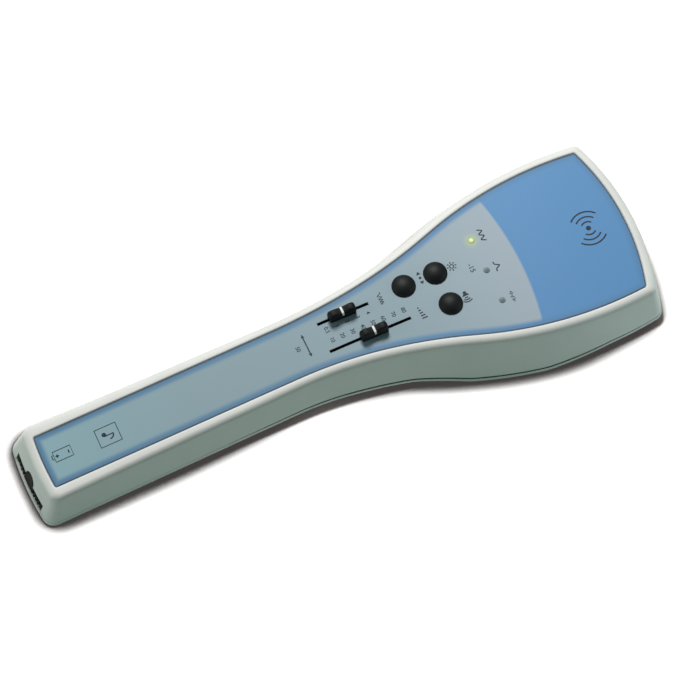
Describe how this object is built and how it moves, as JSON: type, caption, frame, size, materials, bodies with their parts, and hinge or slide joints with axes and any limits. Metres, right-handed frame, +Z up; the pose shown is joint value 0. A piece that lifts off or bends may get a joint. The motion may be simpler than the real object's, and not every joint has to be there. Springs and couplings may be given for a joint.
{
  "type": "audiometer",
  "caption": "Hand-held play audiometer: paddle-shaped housing with a slim battery handle, two level sliders, domed push buttons and a loudspeaker under the head.",
  "frame": {"origin": "centre of the footprint, on the table that the part lies on", "axes": "+X from the battery handle to the head's tip, +Y across to the far side, +Z up out of the control panel"},
  "size_m": [0.334, 0.1034, 0.0384],
  "materials": {
    "shell": "fine satin grain, pale grey-green",
    "foil": "satin printed foil, blue with a grey window",
    "black_plastic": "satin black",
    "button_rubber": "satin black rubber",
    "metal": "pressed sheet",
    "steel": "zinc plated",
    "board": "green solder mask",
    "cloth": "fine black cloth and paper",
    "rubber": "foam rubber",
    "lens": "clear moulding",
    "lit_lamp": "yellow-green lamp, lit",
    "dull_lamp": "grey lamp, unlit",
    "cell": "plain wrapped cell",
    "contact": "nickel plated spring steel"
  },
  "bodies": {
    "housing": {"upper_shell": "shell", "lower_shell": "shell", "control_foil": "foil", "frequency_fader": "metal", "level_fader": "metal", "main_board": "board", "board_screws": "steel", "housing_screws": "steel", "speaker_cloth": "cloth", "speaker_gasket": "rubber", "speaker_frame": "black_plastic", "speaker_cone": "cloth", "speaker_magnet": "steel", "light_window": "lens", "light_board": "board", "light_leds": "lens", "battery_tray": "black_plastic", "battery_left": "cell", "battery_right": "cell", "bridge_contact": "contact", "plus_contact": "contact", "minus_contact": "contact", "tone_lamp": "lit_lamp", "narrow_band_lamp": "dull_lamp", "noise_lamp": "dull_lamp", "select_switch": "black_plastic", "light_switch": "black_plastic", "stimulus_switch": "black_plastic"},
    "frequency_slider": {"frequency_knob": "black_plastic", "frequency_lever": "black_plastic"},
    "level_slider": {"level_knob": "black_plastic", "level_lever": "black_plastic"},
    "battery_door": {"battery_door": "shell"},
    "battery_latch": {"battery_latch": "black_plastic"},
    "select_button": {"select_button": "button_rubber", "select_plunger": "black_plastic"},
    "light_button": {"light_button": "button_rubber", "light_plunger": "black_plastic"},
    "stimulus_button": {"stimulus_button": "button_rubber", "stimulus_plunger": "black_plastic"}
  },
  "joints": [
    {"name": "frequency_slide", "type": "slide", "parent": "housing", "child": "frequency_slider", "axis": [1, 0, 0], "range_m": [-0.011, 0.012]},
    {"name": "level_slide", "type": "slide", "parent": "housing", "child": "level_slider", "axis": [1, 0, 0], "range_m": [-0.0215, 0.0177]},
    {"name": "battery_door_hinge", "type": "hinge", "parent": "housing", "child": "battery_door", "pos_m": [-0.09914, 0, 0.00525], "axis": [0, -1, 0], "range_deg": [0, 55]},
    {"name": "battery_latch_press", "type": "slide", "parent": "housing", "child": "battery_latch", "axis": [1, 0, 0], "range_m": [0, 0.0015], "stiffness_N_per_m": 400, "springref_m": -0.001},
    {"name": "select_button_press", "type": "slide", "parent": "housing", "child": "select_button", "axis": [0, 0, -1], "range_m": [0, 0.0007], "stiffness_N_per_m": 1200, "springref_m": -0.0003},
    {"name": "light_button_press", "type": "slide", "parent": "housing", "child": "light_button", "axis": [0, 0, -1], "range_m": [0, 0.0007], "stiffness_N_per_m": 1200, "springref_m": -0.0003},
    {"name": "stimulus_button_press", "type": "slide", "parent": "housing", "child": "stimulus_button", "axis": [0, 0, -1], "range_m": [0, 0.0007], "stiffness_N_per_m": 1200, "springref_m": -0.0003}
  ]
}
